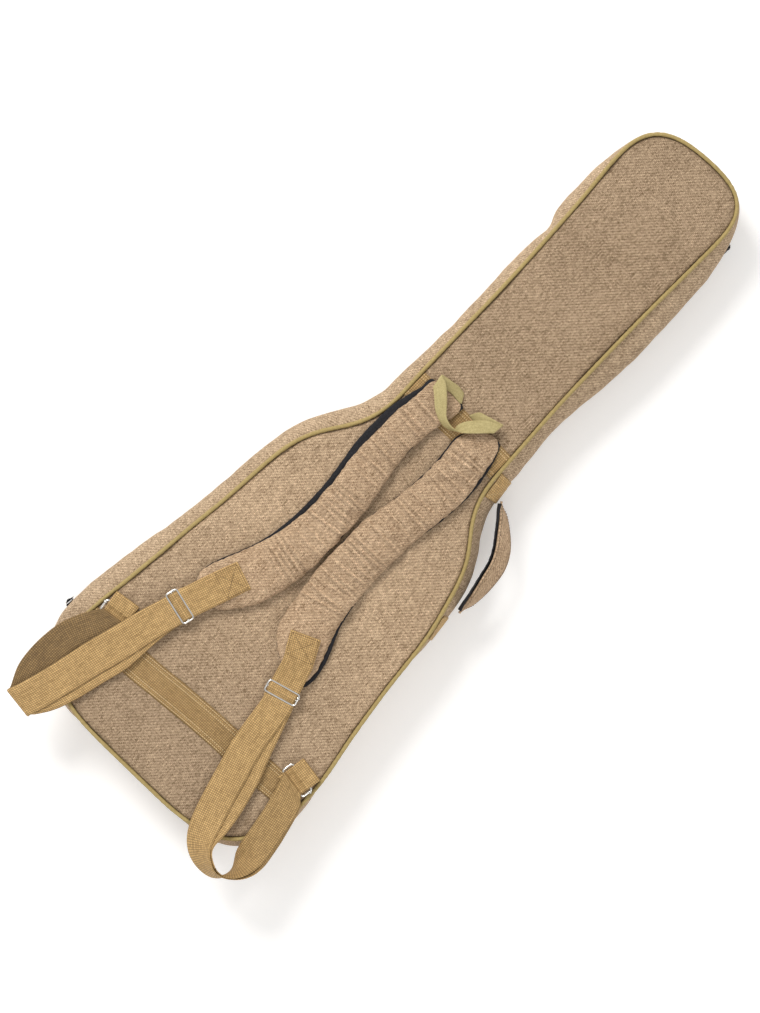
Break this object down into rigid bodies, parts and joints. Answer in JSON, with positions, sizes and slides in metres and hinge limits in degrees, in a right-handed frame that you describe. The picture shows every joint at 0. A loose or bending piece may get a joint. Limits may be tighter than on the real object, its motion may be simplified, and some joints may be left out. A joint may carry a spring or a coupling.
{
  "type": "padded gig bag",
  "caption": "Padded canvas gig bag for an electric guitar, lying on its front, with backpack straps, carry handle, hang loop, pockets and a back that zips open.",
  "frame": {"origin": "on the flat outer face of the front pockets, on the bag's centre line, 0.24 m from the tail end; the bag rests on this face", "axes": "+Z out of the back panel that carries the straps, +Y along the length to the head end, +X to the side with the carry handle"},
  "size_m": [0.4003, 1.0718, 0.109],
  "materials": {
    "canvas": "coarse woven tan canvas",
    "foam": "closed-cell foam",
    "lining": "brushed dark lining",
    "piping": "olive cord piping",
    "zip_tape": "woven black tape",
    "zip_coil": "nylon coil",
    "zip_metal": "black lacquer",
    "zip_pull": "black lacquer",
    "webbing": "ribbed golden-tan webbing",
    "mesh": "black spacer mesh",
    "nickel": "bright nickel wire",
    "tape": "pale khaki tape",
    "webbing_black": "black hook-and-loop strap"
  },
  "bodies": {
    "front_shell": {"front_panel": "canvas", "front_foam": "foam", "front_lining": "lining", "front_wall": "canvas", "front_wall_foam": "foam", "front_wall_lining": "lining", "front_piping": "piping", "front_zip_tape": "zip_tape", "front_zip_coil": "zip_coil", "main_pocket_panel": "canvas", "main_pocket_wall": "canvas", "main_pocket_zip": "zip_tape", "head_pocket_panel": "canvas", "head_pocket_wall": "canvas", "head_pocket_zip": "zip_tape"},
    "back_shell": {"back_panel": "canvas", "back_foam": "foam", "back_lining": "lining", "back_wall": "canvas", "back_wall_foam": "foam", "back_wall_lining": "lining", "back_piping": "piping", "back_zip_tape": "zip_tape", "back_zip_coil": "zip_coil", "lower_band": "webbing", "upper_band": "webbing", "left_anchor_tab": "webbing", "right_anchor_tab": "webbing", "handle_patch_upper": "webbing", "handle_patch_lower": "webbing", "neck_rest": "lining", "neck_strap": "webbing_black", "tail_bumper": "lining"},
    "left_strap": {"left_pad_cover": "canvas", "left_pad_foam": "foam", "left_pad_backing": "mesh", "left_tab": "webbing", "left_webbing": "webbing"},
    "right_strap": {"right_pad_cover": "canvas", "right_pad_foam": "foam", "right_pad_backing": "mesh", "right_tab": "webbing", "right_webbing": "webbing"},
    "left_glide": {"left_glide": "nickel"},
    "right_glide": {"right_glide": "nickel"},
    "left_ring": {"left_ring": "nickel", "left_webbing_return": "webbing"},
    "right_ring": {"right_ring": "nickel", "right_webbing_return": "webbing"},
    "handle": {"handle_cover": "canvas", "handle_lining": "mesh"},
    "hang_loop": {"hang_loop": "tape"},
    "zip_slider_a": {"zip_slider_a": "zip_metal"},
    "zip_pull_a": {"zip_pull_a": "zip_pull"},
    "zip_slider_b": {"zip_slider_b": "zip_metal"},
    "zip_pull_b": {"zip_pull_b": "zip_pull"},
    "main_pocket_slider": {"main_pocket_slider": "zip_metal"},
    "main_pocket_pull": {"main_pocket_pull": "zip_pull"},
    "head_pocket_slider": {"head_pocket_slider": "zip_metal"},
    "head_pocket_pull": {"head_pocket_pull": "zip_pull"}
  },
  "joints": [
    {"name": "opening", "type": "hinge", "parent": "front_shell", "child": "back_shell", "pos_m": [0.19, 0, 0.036], "axis": [0, 1, 0], "range_deg": [0, 105]},
    {"name": "left_strap_lift", "type": "hinge", "parent": "back_shell", "child": "left_strap", "pos_m": [0, 0.37, 0.092], "axis": [-1, 0, 0], "range_deg": [0, 40]},
    {"name": "right_strap_lift", "type": "hinge", "parent": "back_shell", "child": "right_strap", "pos_m": [0, 0.37, 0.092], "axis": [-1, 0, 0], "range_deg": [0, 40]},
    {"name": "left_glide_slide", "type": "slide", "parent": "left_strap", "child": "left_glide", "axis": [-0.2261, -0.9741, 0], "range_m": [0, 0.07]},
    {"name": "right_glide_slide", "type": "slide", "parent": "right_strap", "child": "right_glide", "axis": [0.1443, -0.9895, 0], "range_m": [0, 0.1]},
    {"name": "left_ring_shift", "type": "slide", "parent": "back_shell", "child": "left_ring", "axis": [-0.9903, -0.1392, 0], "range_m": [0, 0.002]},
    {"name": "right_ring_turn", "type": "hinge", "parent": "back_shell", "child": "right_ring", "pos_m": [0.162, -0.097, 0.0954], "axis": [-0.9877, 0.1564, 0], "range_deg": [0, 60]},
    {"name": "handle_swing", "type": "hinge", "parent": "back_shell", "child": "handle", "pos_m": [0.1015, 0.316, 0.062], "axis": [0.3976, -0.9176, 0], "range_deg": [-15, 10]},
    {"name": "hang_loop_flop", "type": "hinge", "parent": "back_shell", "child": "hang_loop", "pos_m": [-0.005, 0.395, 0.091], "axis": [-1, 0, 0], "range_deg": [0, 25]},
    {"name": "zip_a_slide", "type": "slide", "parent": "front_shell", "child": "zip_slider_a", "axis": [0.1007, 0.9949, 0], "range_m": [0, 0.1]},
    {"name": "zip_a_pull", "type": "hinge", "parent": "zip_slider_a", "child": "zip_pull_a", "pos_m": [-0.198, -0.14653, 0.036], "axis": [0.1007, 0.9949, 0], "range_deg": [0, 100]},
    {"name": "zip_b_slide", "type": "slide", "parent": "front_shell", "child": "zip_slider_b", "axis": [0.1961, -0.9806, 0], "range_m": [0, 0.062]},
    {"name": "zip_b_pull", "type": "hinge", "parent": "zip_slider_b", "child": "zip_pull_b", "pos_m": [0.08917, 0.7426, 0.036], "axis": [0.1961, -0.9806, 0], "range_deg": [0, 100]},
    {"name": "main_pocket_slide", "type": "slide", "parent": "front_shell", "child": "main_pocket_slider", "axis": [-0.1713, -0.9852, 0], "range_m": [0, 0.125]},
    {"name": "main_pocket_pull_turn", "type": "hinge", "parent": "main_pocket_slider", "child": "main_pocket_pull", "pos_m": [-0.15576, 0.02557, 0.0064], "axis": [0, 0, 1], "range_deg": [0, 80]},
    {"name": "head_pocket_slide", "type": "slide", "parent": "front_shell", "child": "head_pocket_slider", "axis": [-0.0692, 0.9976, 0], "range_m": [0, 0.05]},
    {"name": "head_pocket_pull_turn", "type": "hinge", "parent": "head_pocket_slider", "child": "head_pocket_pull", "pos_m": [0.08686, 0.64035, 0.0064], "axis": [0, 0, 1], "range_deg": [0, 80]}
  ]
}
